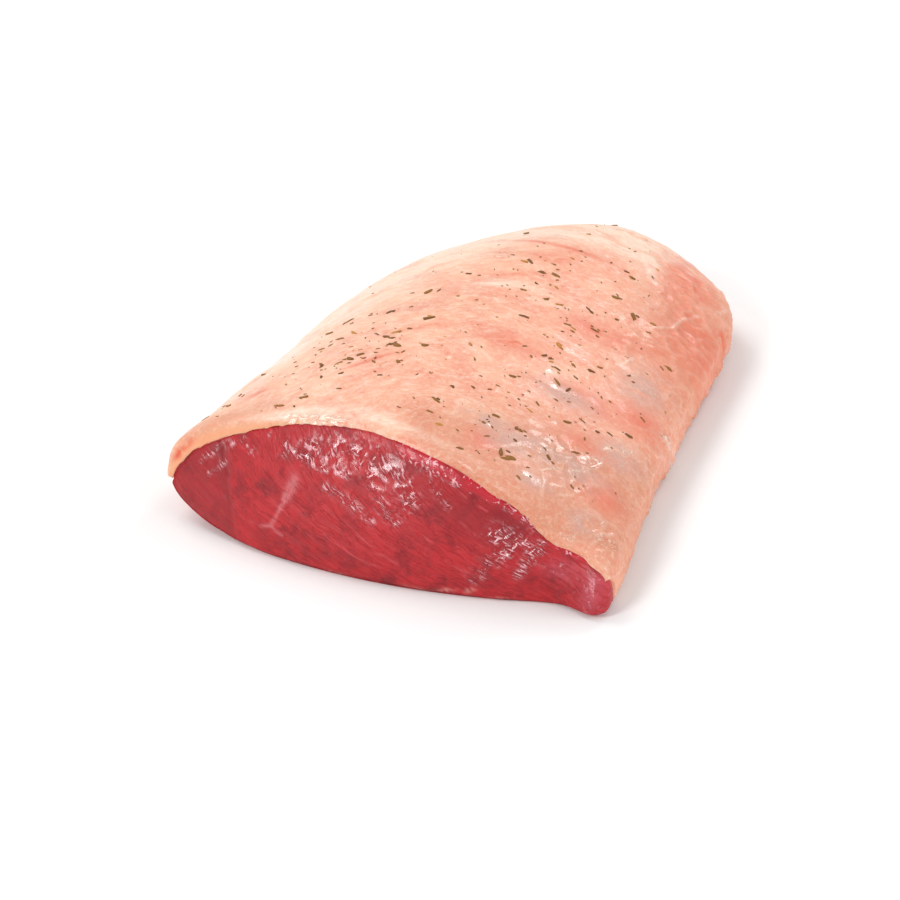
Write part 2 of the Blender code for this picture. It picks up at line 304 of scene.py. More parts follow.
def spot(a, b, place):               # 1 at the place, gone past its reaches
    a0, b0, reachA, reachB, turn = place
    da, db = a - a0, b - b0
    turn = math.radians(turn)
    first = (da * math.cos(turn) + db * math.sin(turn)) / reachA
    second = (db * math.cos(turn) - da * math.sin(turn)) / reachB
    return np.exp(-(first * first + second * second))


def spots(a, b, places):
    return np.clip(sum(spot(a, b, place) for place in places), 0, 1)


def strands(a, b, paths):            # each is a path and its half width
    return np.clip(sum(np.exp(-(nearPath(a, b, path) / width) ** 2) for path, width in paths), 0, 1)


def meshPlaces(mesh):
    places = np.empty(len(mesh.vertices) * 3)
    mesh.vertices.foreach_get("co", places)
    return places.reshape(-1, 3)


def layOn(mesh, heights):
    normals = np.empty(len(mesh.vertices) * 3, np.float32)
    mesh.vertex_normals.foreach_get("vector", normals)
    raised = meshPlaces(mesh) + normals.reshape(-1, 3) * heights[:, None]
    mesh.vertices.foreach_set("co", raised.ravel())
    mesh.update()


def paint(mesh, name, values):
    layer = mesh.attributes.new(name, "FLOAT", "POINT")
    layer.data.foreach_set("value", np.asarray(values, np.float32))


def newPiece(name, bm, material):
    bmesh.ops.recalc_face_normals(bm, faces=bm.faces)
    mesh = bpy.data.meshes.new(name)
    bm.to_mesh(mesh)
    bm.free()
    mesh.shade_smooth()
    mesh.materials.append(material)
    piece = bpy.data.objects.new(name, mesh)
    bpy.context.scene.collection.objects.link(piece)
    return piece


# Shader sums: a Wire is a socket that takes part in Python expressions
class Wire:
    def __init__(self, socket):
        self.socket = socket

    def node(self, kind, settings=None, inputs=None, output=0):
        tree = self.socket.id_data
        made = tree.nodes.new(kind)
        for name, value in (settings or {}).items():
            setattr(made, name, value)
        for key, value in (inputs or {}).items():
            if isinstance(value, Wire):
                tree.links.new(value.socket, made.inputs[key])
            else:
                made.inputs[key].default_value = value
        return Wire(made.outputs[output])

    def math(self, operation, *others, clamp=False):
        values = dict(enumerate((self, *others)))
        return self.node("ShaderNodeMath", {"operation": operation, "use_clamp": clamp}, values)

    def __add__(self, other):
        return self.math("ADD", other)

    def __sub__(self, other):
        return self.math("SUBTRACT", other)

    def __mul__(self, other):
        return self.math("MULTIPLY", other)

    def __rsub__(self, other):
        return self.math("MULTIPLY_ADD", -1.0, other)

    __radd__ = __add__
    __rmul__ = __mul__

    def clamped(self):
        return self.math("ADD", 0.0, clamp=True)

    def span(self, low, high, start=0.0, end=1.0):      # a smooth step from low to high
        values = {0: self, 1: low, 2: high, 3: start, 4: end}
        return self.node("ShaderNodeMapRange", {"interpolation_type": "SMOOTHSTEP"}, values)

    def mix(self, first, second):                       # the wire is the factor
        return self.node("ShaderNodeMix", {"data_type": "RGBA"}, {0: self, 6: first, 7: second}, 2)

    def noise(self, scale, detail=2.0, roughness=0.5, distortion=0.0):
        values = {"Vector": self, "Scale": scale, "Detail": detail,
                  "Roughness": roughness, "Distortion": distortion}
        return self.node("ShaderNodeTexNoise", None, values)

    def axis(self, output):
        return self.node("ShaderNodeSeparateXYZ", None, {0: self}, output)

    def together(self, y, z):                           # a vector of three numbers
        return self.node("ShaderNodeCombineXYZ", None, {0: self, 1: y, 2: z})

    def painted(self, name):
        return self.node("ShaderNodeAttribute", {"attribute_name": name}, None, 2)


def tone(red, green, blue):          # a screen colour, 0 to 255, as linear light
    parts = [part / 255 for part in (red, green, blue)]
    return (*(p / 12.92 if p < 0.04045 else ((p + 0.055) / 1.055) ** 2.4 for p in parts), 1)


def newMaterial(name, finish):
    material = bpy.data.materials.new(name)
    material.use_nodes = True
    tree = material.node_tree
    shader = tree.nodes["Principled BSDF"]
    for key, value in finish.items():
        shader.inputs[key].default_value = value
    place = Wire(tree.nodes.new("ShaderNodeTexCoord").outputs["Object"])
    return material, shader, place


def plug(wire, shader, key):
    shader.id_data.links.new(wire.socket, shader.inputs[key])


def bump(height, distance, strength):
    values = {"Strength": strength, "Distance": distance, "Height": height}
    return height.node("ShaderNodeBump", None, values)


# The fat cover
fatLook = {
    "streakCentre": (0.060, -0.165),   # the fibres sweep round this place, X and Y
    "streakRadius": 0.17,
    "cream": tone(247, 217, 195),
    "peach": tone(240, 187, 157),
    "pink": tone(235, 158, 130),
    "coral": tone(226, 118, 90),
    "lilac": tone(203, 158, 144),
    "amber": tone(236, 164, 122),
    "tan": tone(212, 138, 106),
    "red": tone(222, 92, 62),
    "bump": (0.0006, 0.8),             # depth and strength
    "finish": {
        "Roughness": 0.4, "IOR": 1.45, "Specular IOR Level": 0.4,
        "Subsurface Weight": 0.2, "Subsurface Radius": (1.0, 0.45, 0.3), "Subsurface Scale": 0.0012,
        "Coat Roughness": 0.12, "Coat IOR": 1.4,
    },
}


def fatMaterial():
    look = fatLook
    material, shader, place = newMaterial("beef fat", look["finish"])
    x, y, z = (place.axis(index) for index in range(3))
    dx, dy = x - look["streakCentre"][0], y - look["streakCentre"][1]
    radius = (dx * dx + dy * dy).math("SQRT") + (place.noise(55, 3.0) - 0.5) * 0.018
    sweep = dx.math("ARCTAN2", dy) * look["streakRadius"]
    hairs = (sweep * 240).together(radius * 1050, z * 850).noise(1.0, 3.0, 0.65)
    streaks = (sweep * 100).together(radius * 380, z * 340).noise(1.0, 4.0, 0.65)
    bands = (sweep * 30).together(radius * 95, z * 95).noise(1.0, 4.0, 0.65)
    mottle = place.noise(60, 5.0, 0.68)
    flecks = place.noise(430, 4.0, 0.7)
    speckle = place.noise(1100, 2.0, 0.6)
    crease = (place.noise(170, 3.0, 0.6) - 0.5).math("ABSOLUTE").span(0.0, 0.025, 1.0, 0.0)
    glint = place.noise(520, 1.0, 0.5, 1.5).span(0.54, 0.60)
    cream, blush, grey, line, glossAndPaintedGlint, amber, red, warm = (
        place.painted(name)
        for name in ("cream", "blush", "grey", "line", "glossAndPaintedGlint", "amber", "red", "warm"))

    warmth = mottle * 0.65 + bands * 0.35 + x * 1.2
    colour = warmth.span(0.38, 0.62).mix(look["peach"], look["pink"])
    colour = (warm * (0.55 + mottle * 0.6)).clamped().mix(colour, look["tan"])
    colour = (streaks.span(0.50, 0.36) * 0.35).mix(colour, look["pink"])
    colour = (flecks.span(0.54, 0.66) * mottle.span(0.42, 0.58) * 0.5).mix(colour, look["coral"])
    pale = streaks.span(0.50, 0.62) * 0.3 + hairs.span(0.50, 0.38) * 0.25
    pale = pale + flecks.span(0.46, 0.36) * 0.35
    pale = (pale + cream * bands.span(0.30, 0.56) * 0.85) * (1 - warm * 0.5)
    colour = pale.clamped().mix(colour, look["cream"])
    colour = (blush * (mottle * 0.5 + streaks * 0.7).span(0.36, 0.72)).mix(colour, look["coral"])
    colour = (grey * bands.span(0.30, 0.52) * 0.85).mix(colour, look["lilac"])
    colour = (line * 0.35 + grey * crease * 0.35).mix(colour, look["cream"])
    # painted highlights: crisp pale glints on the glossy beads, the frill and the lines
    colour = (glossAndPaintedGlint * glint * 0.7).mix(colour, look["cream"])
    colour = (amber * (0.4 + streaks * 0.8)).clamped().mix(colour, look["amber"])
    colour = (red * mottle.span(0.36, 0.52)).mix(colour, look["red"])
    plug(colour, shader, "Base Color")

    wet = place.noise(60, 3.0, 0.6).span(0.46, 0.64)
    plug((0.48 - wet * 0.12 - glossAndPaintedGlint * 0.34) + speckle * 0.08, shader, "Roughness")
    plug((wet * 0.25 + grey * 0.2 + glossAndPaintedGlint).clamped(), shader, "Coat Weight")
    height = streaks * 0.45 + hairs * 0.2 + flecks * 0.4 + speckle * 0.1 + mottle * 0.5
    height = height + glossAndPaintedGlint * glint * 0.6 + grey * crease * 0.3
    plug(bump(height, *look["bump"]), shader, "Normal")
    return material


fatCover = {
    "cells": (200, 220, 32),
    "crowding": 1.3,
    "liningCells": (25, 28, 4),
    "liningInset": 0.02,
    "rimRows": 8,
    "rimRounding": (0.0007, 0.0020),   # thin and thick end
    "edgeRounding": 0.8,
    "ragged": 0.0007,                  # how unevenly the rim hangs over the lean
    "frillLength": 0.0035,             # of the puckered strip behind the rim
    "relief": {                        # heights, in and out along the normals
        "swell": 0.0005, "ripples": 0.00025, "ridges": 0.00014, "creamRidges": 0.00010,
        "folds": 0.0009, "crumples": 0.0006, "lines": 0.00025, "beads": 0.0002,
        "frill": 0.0007, "rim": 0.0003, "gap": 0.0012,
    },
    # X, Y, reach along, reach across, turn in degrees
    "cream": (
        (-0.060, 0.010, 0.055, 0.016, 62), (-0.012, 0.090, 0.050, 0.012, 14),
        (-0.030, 0.060, 0.050, 0.014, 45), (-0.072, -0.045, 0.030, 0.010, 62),
        (0.004, 0.104, 0.050, 0.018, 0), (-0.030, 0.085, 0.030, 0.022, 45),
        (-0.048, 0.050, 0.045, 0.016, 62), (0.034, 0.104, 0.012, 0.016, 0),
        (-0.030, -0.102, 0.022, 0.004, 4), (0.000, -0.105, 0.030, 0.003, -4),
        (0.040, 0.092, 0.018, 0.006, -60), (0.052, 0.107, 0.007, 0.004, -40),
        (0.074, 0.083, 0.006, 0.008, 0), (0.078, 0.048, 0.005, 0.010, 0),
        (0.001, 0.023, 0.012, 0.0026, 30), (0.037, -0.026, 0.007, 0.003, 20),
    ),
    "blush": (
        (0.063, -0.060, 0.010, 0.007, 20), (-0.014, -0.026, 0.008, 0.003, 30),
        (-0.025, -0.059, 0.012, 0.0016, 43), (0.005, 0.036, 0.009, 0.0012, 42),
        (0.032, -0.093, 0.006, 0.007, 0), (0.021, -0.018, 0.013, 0.007, 25),
        (0.013, 0.058, 0.011, 0.005, 20), (0.058, 0.096, 0.013, 0.024, 10),
        (0.074, 0.050, 0.013, 0.030, 0), (0.045, 0.020, 0.018, 0.007, 20),
        (0.078, -0.085, 0.008, 0.010, 0), (-0.065, -0.077, 0.007, 0.0026, 45),
        (-0.076, -0.056, 0.005, 0.002, 60), (0.010, 0.070, 0.024, 0.0016, 6),
        (0.052, -0.030, 0.014, 0.006, -10), (0.072, -0.020, 0.010, 0.012, 0),
    ),
    "grey": (
        (0.062, -0.080, 0.012, 0.010, 0), (0.043, -0.084, 0.013, 0.008, 30),
        (0.074, -0.052, 0.008, 0.010, 0), (0.047, -0.035, 0.012, 0.007, 10),
        (0.028, -0.080, 0.008, 0.004, 20), (0.076, -0.105, 0.006, 0.006, 0),
        (0.056, -0.102, 0.007, 0.005, 0), (0.068, 0.000, 0.008, 0.014, 0),
    ),
    "warm": (
        (0.062, -0.088, 0.034, 0.034, 0), (0.062, -0.088, 0.026, 0.026, 0),
        (0.086, 0.070, 0.012, 0.060, 0), (0.070, 0.060, 0.020, 0.050, 0),
        (0.020, -0.096, 0.020, 0.010, -10), (0.052, -0.100, 0.018, 0.012, -30),
        (0.088, -0.060, 0.008, 0.045, 0),
        (-0.074, -0.098, 0.026, 0.010, 0), (0.030, -0.108, 0.024, 0.008, -14),
    ),
    "wrinkles": (
        (0.064, 0.088, 0.022, 0.032, 0), (0.080, 0.040, 0.012, 0.040, 0),
        (0.084, -0.030, 0.010, 0.040, 0), (0.030, 0.108, 0.016, 0.014, 0),
        (0.066, -0.078, 0.016, 0.014, 0), (0.082, -0.100, 0.010, 0.012, 0),
        (0.060, 0.030, 0.010, 0.022, -20),
    ),
    # thin ridges, each a path in X and Y and its half width
    "lines": (
        (((0.0555, -0.0931), (0.0578, -0.0887), (0.0635, -0.0825), (0.0676, -0.0769)), 0.0005),
        (((0.0555, -0.0931), (0.0588, -0.0993), (0.0600, -0.1062)), 0.0005),
        (((0.0610, -0.0980), (0.0650, -0.0940), (0.0700, -0.0920)), 0.0005),
        (((0.0640, -0.1010), (0.0690, -0.0960)), 0.0004),
        (((0.0686, -0.0540), (0.0712, -0.0491), (0.0762, -0.0445)), 0.0008),
        (((0.0560, 0.0020), (0.0590, 0.0158), (0.0612, 0.0215)), 0.0007),
        (((0.0579, 0.0438), (0.0636, 0.0537), (0.0650, 0.0655), (0.0690, 0.0760)), 0.0007),
        (((0.0730, 0.0834), (0.0750, 0.0990)), 0.0007),
        (((0.0286, 0.1003), (0.0381, 0.0953), (0.0441, 0.0872), (0.0475, 0.0779)), 0.0008),
        (((0.0316, 0.1095), (0.0417, 0.0977), (0.0480, 0.0880)), 0.0008),
        (((-0.0304, 0.0782), (-0.0077, 0.0747), (0.0080, 0.0794), (0.0300, 0.0868)), 0.0006),
        (((-0.0450, 0.0350), (-0.0300, 0.0440), (-0.0120, 0.0480)), 0.0004),
        (((-0.0580, -0.0150), (-0.0440, -0.0020), (-0.0280, 0.0060)), 0.0004),
    ),
    # wet beads, X, Y and size; they are glossy and get painted glints
    "beads": (
        (0.0670, -0.0682, 0.0032), (0.0693, -0.0645, 0.0020), (0.0728, -0.1150, 0.0028),
        (0.0521, -0.1011, 0.0018), (0.0579, -0.0719, 0.0012), (0.0495, -0.0569, 0.0012),
        (0.0740, -0.0480, 0.0014), (0.0762, -0.0440, 0.0014), (0.0820, -0.0160, 0.0028),
        (0.0877, -0.1060, 0.0020), (0.0843, -0.1082, 0.0024), (0.0810, -0.1000, 0.0016),
        (0.0365, -0.0250, 0.0016), (0.0420, -0.0330, 0.0012), (0.0300, -0.0820, 0.0014),
    ),
    "gap": (0.0800, 0.0771, 0.0022, 0.0060, 0),
}


def openHood(bm):                    # opens the block at the cut and below
    middles = [(face, face.calc_center_median()) for face in bm.faces]
    gone = [face for face, middle in middles if min(middle.y, middle.z) < -grids["face"]]
    bmesh.ops.delete(bm, geom=gone, context="FACES")
    return bm


def coverPlaces(u, v, w, inner):
    gridEdge, span = fatLayer["gridEdge"], slab["span"]
    onCut, onEdge = v < -grids["face"], w < -grids["face"]
    row = gridEdge + (w + 1) / 2 * (1 - gridEdge)
    height = flankHeight(row, u, unwrap(u, v, row, fatCover["crowding"])[1])
    angle, length = unwrap(u, v, height, fatCover["crowding"])
    across = placeAcross(angle)[0]
    lip, thickness = fatLip(angle, length), fatDepth(height, angle, length)
    radius = blend(fatCover["rimRounding"], rise(-across, 0.3, 1))
    back, sunk = rounded(length * span, radius)
    down, drawnIn = rounded(inner * (thickness + lip), radius)
    depth = np.where(onCut, down, np.where(inner > 0, inner * (thickness + lip), sunk)) - lip
    x, y, z = onHide(angle, np.where(onCut, 0, back / span), depth)
    belowEdge = np.where(onEdge & ~onCut, np.sqrt(inner * (1 - inner)) * thickness, 0)
    alongRim = np.stack((x, z, x * 0), axis=1)
    uneven = cloud(alongRim, 0.006, 9) + 0.6 * cloud(alongRim, 0.0022, 10)
    uneven = (uneven + 0.2) * onCut * inner * fatCover["ragged"]
    y = y + np.where(onCut, drawnIn, 0) - np.abs(uneven) * 0.7
    z = z - belowEdge * fatCover["edgeRounding"] - uneven
    return x, y, z, length


def makeFatCover():
    rows, inset, relief = fatCover["rimRows"], fatCover["liningInset"], fatCover["relief"]
    bm = openHood(block(fatCover["cells"]))
    layer = bm.verts.layers.float.new("inner")
    rim = [edge for edge in bm.edges if edge.is_boundary]
    for row in range(rows):
        grown = bmesh.ops.extrude_edge_only(bm, edges=rim)["geom"]
        rim = [part for part in grown if isinstance(part, bmesh.types.BMEdge) and part.is_boundary]
        for vert in {vert for edge in rim for vert in edge.verts}:
            vert[layer] = (row + 1) / rows
    hood = openHood(block(fatCover["liningCells"]))
    for vert in hood.verts:          # the lining starts a little inside the rim
        vert.co.y += (1 - vert.co.y) * inset
        vert.co.z += (1 - vert.co.z) * inset
    lining = bpy.data.meshes.new("lining")
    hood.to_mesh(lining)
    hood.free()
    outside = set(bm.verts)
    bm.from_mesh(lining)
    bpy.data.meshes.remove(lining)
    for vert in bm.verts:
        if vert not in outside:
            vert[layer] = 2
    bmesh.ops.bridge_loops(bm, edges=[edge for edge in bm.edges if edge.is_boundary])
    inner = np.array([vert[layer] for vert in bm.verts])
    isLining, inner = inner > 1.5, np.minimum(inner, 1)
    u, v, w = gridPlaces(bm)
    x, y, z, length = coverPlaces(u, v, w, inner)
    moveTo(bm, x, y, z)
    bm.verts.layers.float.remove(layer)
    piece = newPiece("fat_cover", bm, fatMaterial())
    mesh = piece.data

    places = meshPlaces(mesh)
    centre = fatLook["streakCentre"]
    dx, dy = x - centre[0], y - centre[1]
    streakPlaces = np.stack((np.arctan2(dx, dy) * fatLook["streakRadius"],
                             np.hypot(dx, dy) + cloud(places, 0.022) * 0.004, z), axis=1)
    fromCut, onRim = length * slab["span"], (v < -grids["face"]) & (inner > 0)
    cream, wrinkled = spots(x, y, fatCover["cream"]), spots(x, y, fatCover["wrinkles"])
    swell = cloud(places, 0.030) * relief["swell"] + cloud(places, 0.012, 1) * relief["ripples"]
    ridges = cloud(streakPlaces, (0.022, 0.0035, 0.004), 2)
    ridges = ridges * (relief["ridges"] + relief["creamRidges"] * cream)
    folds = 1 - np.abs(cloud(streakPlaces, (0.016, 0.0075, 0.009), 3)) * 4
    folds = np.clip(folds, 0, 1) ** 2 * wrinkled
    crumpled = cloud(places, (0.005, 0.0035, 0.0035), 6) * wrinkled
    line = strands(x, y, fatCover["lines"]) * rise(cloud(places, 0.006, 4), -0.5, 0.1)
    beads = sum(np.exp(-(np.hypot(x - a, y - b) / size) ** 2) for a, b, size in fatCover["beads"])
    beads = np.clip(beads, 0, 1)
    frill = np.exp(-(fromCut / fatCover["frillLength"]) ** 2)
    frill = frill * rise(-x, 0.012, 0.022) * (1 - rise(-x, 0.042, 0.055))
    frillBumps = cloud(places, (0.0028, 0.0022, 0.0022), 5) * frill
    gap = spot(x, y, fatCover["gap"]) * rise(cloud(places, 0.004, 7), -0.3, 0.2)
    rimBumps = cloud(places, 0.0045, 8) * np.exp(-fromCut / 0.004)
    heights = swell + ridges + folds * relief["folds"] + crumpled * relief["crumples"]
    heights = heights + line * relief["lines"] + beads * relief["beads"] - gap * relief["gap"]
    heights = heights + frillBumps * relief["frill"] + rimBumps * relief["rim"]
    layOn(mesh, np.where(isLining, 0, heights * (1 - 0.5 * inner)))
    middle = np.exp(-(((inner - 0.5) / 0.22) ** 2)) * onRim
    paint(mesh, "cream", np.clip(cream + frill * rise(frillBumps, -0.1, 0.2), 0, 1))
    for name in ("blush", "warm", "grey"):
        paint(mesh, name, spots(x, y, fatCover[name]))
    paint(mesh, "line", np.clip(line + folds * 0.5, 0, 1))
    # glossy places, where the shader also paints glints into the colour
    paint(mesh, "glossAndPaintedGlint", np.clip(beads + frill * 0.8 + line * 0.3, 0, 1))
    paint(mesh, "amber", np.clip(onRim * rise(inner, 0.1, 0.7) * rise(-x, 0.025, 0.045), 0, 1))
    tip = rise(-x, 0.080, 0.086) * rise(z, 0.020, 0.024) * rise(cloud(places, 0.003, 10), -0.5, 0.1)
    paint(mesh, "red", np.clip(middle * tip + gap, 0, 1))
    print("fat cover:", len(mesh.polygons), "faces")
    return piece


# The lean
leanLook = {
    "flesh": tone(188, 36, 42),
    "deep": tone(138, 22, 31),
    "bright": tone(192, 30, 46),
    "streak": tone(202, 78, 84),
    "sinew": tone(208, 114, 118),
    "silver": tone(194, 86, 102),
    # painted highlight colour, for the glints put into the cut's colour
    "paintedSheen": tone(242, 176, 182),
    "scrap": tone(208, 128, 120),
    "fibreRise": 2.9,                # the fibres slope up across the cut and bend over
    "fibreBend": 23,
    "fibreRun": (0.75, -0.66),
    "bump": (0.0006, 0.7),
    "finish": {
        "Roughness": 0.35, "IOR": 1.42, "Specular IOR Level": 0.5,
        "Subsurface Weight": 0.1, "Subsurface Radius": (1.0, 0.2, 0.15), "Subsurface Scale": 0.0015,
        "Coat Roughness": 0.08, "Coat IOR": 1.4,
    },
}


def fibres(x, z):                    # a place across the fibres and one along them
    rise, bend = leanLook["fibreRise"], leanLook["fibreBend"]
    runX, runZ = leanLook["fibreRun"]
    return x + z * rise - z * z * bend, x * runX + z * runZ


def leanMaterial():
    look = leanLook
    material, shader, place = newMaterial("lean meat", look["finish"])
    x, y, z = (place.axis(index) for index in range(3))
    grain, run = fibres(x, z)
    grain = grain + (place.noise(60, 2.0) - 0.5) * 0.012
    fine = (grain * 800).together(run * 230, y * 60).noise(1.0, 4.0, 0.65)
    coarse = (grain * 240).together(run * 60, y * 30).noise(1.0, 2.0, 0.5)
    ripple = (grain * 750).together(run * 300, y * 90).noise(1.0, 2.0, 0.5, 0.8).span(0.52, 0.60)
    dots = place.noise(620, 1.0, 0.5).span(0.62, 0.68)
    furrow = (coarse - 0.5).math("ABSOLUTE").span(0.0, 0.03, 1.0, 0.0)
    mottle = place.noise(90, 5.0, 0.7)
    grit = place.noise(900, 2.0, 0.6)
    sinew, shade, wet, band, silver, thread, scrap = (
        place.painted(name) for name in
        ("sinew", "shade", "wet", "band", "silver", "thread", "scrap"))
    rough = 1 - band * 0.7 - shade * 0.5
    colour = mottle.span(0.28, 0.56).mix(look["deep"], look["flesh"])
    colour = (coarse.span(0.50, 0.36) * rough * 0.3).mix(colour, look["deep"])
    colour = (furrow * rough * 0.4).mix(colour, look["deep"])
    colour = (fine.span(0.53, 0.68) * rough * 0.22).mix(colour, look["streak"])
    colour = (band * mottle.span(0.30, 0.50)).mix(colour, look["bright"])
    # painted shade: the fold groove, the sunken left lobe and the recess are darkened
    colour = (shade * 0.8).clamped().mix(colour, look["deep"])
    colour = (wet.span(0.05, 0.6) * 0.2).mix(colour, look["deep"])
    # painted highlights: crisp glints on the wet ripples, and dots on the band and the silver skin
    paintedGlints = wet * ripple * 0.9 + (band * 0.8 + silver * 0.5) * dots
    colour = paintedGlints.clamped().mix(colour, look["paintedSheen"])
    silvered = silver * (mottle * 0.6 + coarse * 0.6).span(0.44, 0.72) * 0.9
    colour = silvered.mix(colour, look["silver"])
    colour = (thread * fine.span(0.34, 0.52) * 0.7).mix(colour, look["streak"])
    colour = (sinew * (grit * 0.5 + fine * 0.6).span(0.30, 0.58) * 0.75).mix(colour, look["sinew"])
    colour = scrap.mix(colour, look["scrap"])
    plug(colour, shader, "Base Color")
    plug((0.44 - wet * 0.28 - band * 0.1) + grit * 0.08, shader, "Roughness")
    plug((wet + band * 0.3 + silver * 0.3 + shade * 0.25).clamped(), shader, "Coat Weight")
    height = (fine * 0.5 + coarse * 0.6 - furrow * 0.4) * rough + grit * 0.08 + mottle * 0.3
    height = height + wet * ripple * 0.7 + (band + silver) * dots * 0.4
    plug(bump(height, *look["bump"]), shader, "Normal")
    return material


lean = {
    "cells": (320, 30, 96),
    "crowding": 2.2,
    "edgeRounding": (0.0012, 0.0036),  # along the fat and along the underside
    "foldWidth": 0.0021,
    "relief": {
        "swell": 0.0005, "bundles": 0.00022, "fibres": 0.00010, "wet": 0.00055,
        "fold": 0.0007, "lobe": 0.0006, "recess": 0.0009, "band": 0.0008, "scrap": 0.0005,
    },
    # On the cut, all places are X and Z
    "fold": ((-0.0715, 0.0345), (-0.0680, 0.0290), (-0.0650, 0.0230), (-0.0640, 0.0170),
             (-0.0615, 0.0110), (-0.0580, 0.0040)),
    # paths and their half widths
    "sinews": (
        (((-0.0345, 0.0312), (-0.0358, 0.0280)), 0.0021),
        (((-0.0358, 0.0280), (-0.0375, 0.0240)), 0.0015),
        (((-0.0372, 0.0245), (-0.0392, 0.0200)), 0.0010),
        (((-0.0390, 0.0205), (-0.0405, 0.0170), (-0.0428, 0.0125)), 0.0007),
        (((-0.0428, 0.0125), (-0.0470, 0.0108)), 0.0006),
        (((-0.0428, 0.0125), (-0.0408, 0.0110), (-0.0375, 0.0100)), 0.0005),
    ),
    "threads": (
        (((0.0293, 0.0394), (0.0360, 0.0358), (0.0433, 0.0329)), 0.0004),
        (((0.0090, 0.0274), (0.0165, 0.0230), (0.0242, 0.0194)), 0.0005),
        (((0.0337, 0.0192), (0.0390, 0.0178), (0.0438, 0.0158)), 0.0004),
        (((0.0290, 0.0300), (0.0340, 0.0275), (0.0400, 0.0240)), 0.0004),
        (((0.0300, 0.0135), (0.0370, 0.0105), (0.0450, 0.0090)), 0.0005),
        (((-0.0200, 0.0150), (-0.0080, 0.0100), (0.0040, 0.0065)), 0.0004),
        (((-0.0080, 0.0190), (0.0040, 0.0125), (0.0120, 0.0095)), 0.0004),
        (((-0.0560, 0.0120), (-0.0500, 0.0110), (-0.0450, 0.0120)), 0.0005),
    ),
    "wet": (
        (((-0.0330, 0.0395), (-0.0276, 0.0385), (-0.0200, 0.0380), (-0.0139, 0.0377)), 0.0018),
        (((-0.0300, 0.0430), (-0.0200, 0.0450), (-0.0100, 0.0455), (0.0000, 0.0432)), 0.0044),
        (((-0.0420, 0.0405), (-0.0340, 0.0412)), 0.0022),
        (((-0.0210, 0.0317), (-0.0140, 0.0296), (-0.0070, 0.0265), (-0.0010, 0.0235)), 0.0016),
        (((-0.0040, 0.0400), (0.0000, 0.0345), (0.0036, 0.0285), (0.0090, 0.0255)), 0.0024),
        (((0.0060, 0.0415), (0.0100, 0.0375), (0.0135, 0.0330)), 0.0036),
        (((0.0212, 0.0398), (0.0244, 0.0364), (0.0285, 0.0330)), 0.0012),
        (((0.0415, 0.0095), (0.0465, 0.0145), (0.0520, 0.0185)), 0.0026),
        (((0.0480, 0.0245), (0.0550, 0.0224), (0.0625, 0.0195)), 0.0036),
        (((0.0568, 0.0105), (0.0600, 0.0155), (0.0650, 0.0220)), 0.0018),
        (((-0.0775, 0.0260), (-0.0747, 0.0295), (-0.0700, 0.0340), (-0.0640, 0.0365)), 0.0012),
        (((-0.0740, 0.0225), (-0.0705, 0.0245), (-0.0670, 0.0290)), 0.0008),
        (((-0.0580, 0.0385), (-0.0545, 0.0362)), 0.0016),
        (((-0.0475, 0.0432), (-0.0406, 0.0435)), 0.0012),
        (((0.0060, 0.0475), (0.0200, 0.0435), (0.0310, 0.0405)), 0.0010),
        (((0.0500, 0.0345), (0.0560, 0.0320), (0.0620, 0.0280)), 0.0010),
    ),
    "lip": ((0.004, 0.0482), (0.012, 0.0455), (0.021, 0.0432), (0.031, 0.0402), (0.041, 0.0365),
            (0.051, 0.0338), (0.060, 0.0285), (0.068, 0.0230), (0.078, 0.0180)),
    # X, Z, reach along, reach across, turn in degrees
    "recess": ((0.034, 0.0310, 0.020, 0.0065, -24), (0.050, 0.0270, 0.010, 0.0060, 0)),
    "silver": ((0.087, 0.009, 0.005, 0.007, 0), (0.073, 0.014, 0.005, 0.003, 0)),
    "scraps": ((0.020, 0.0012, 0.0050, 0.0007, -4), (0.031, 0.0022, 0.0035, 0.0009, 6),
               (0.040, 0.0034, 0.0022, 0.0011, 24), (-0.014, 0.0010, 0.0045, 0.0005, 0),
               (0.052, 0.0012, 0.0040, 0.0005, 0)),
}


def leanPlaces(u, v, w):
    onCut, span = v < -grids["face"], slab["span"]
    ring = np.where(onCut, ringOf(u, w), 1)
    side, row = u / ring, w / ring
    height = flankHeight(row, side, unwrap(u, v, w, lean["crowding"])[1])
    angle, length = unwrap(side, v, height, lean["crowding"])
    edge = fatEdge(placeAcross(angle)[0], length)
    covered = rise(height, edge - fatLayer["tuck"], edge)
    depth = covered * (fatDepth(height, angle, length) - fatLayer["overlap"])
    radius = blend(lean["edgeRounding"], rise(-height, 0.0, 0.8))
    back, sunk = rounded(length * span, radius)
    x, y, z = onHide(angle, np.where(onCut, 0, back / span), depth + np.where(onCut, 0, sunk))
    far = np.hypot(x - cut["centre"][0], z - cut["centre"][1])
    inward, drawnIn = rounded((1 - ring) * far, radius)
    shrink = np.where(onCut, 1 - inward / far, 1)
    x = cut["centre"][0] + (x - cut["centre"][0]) * shrink
    z = cut["centre"][1] + (z - cut["centre"][1]) * shrink
    y = np.where(onCut, cutY(x, z) + drawnIn, y)
    return x, y, z, onCut, covered


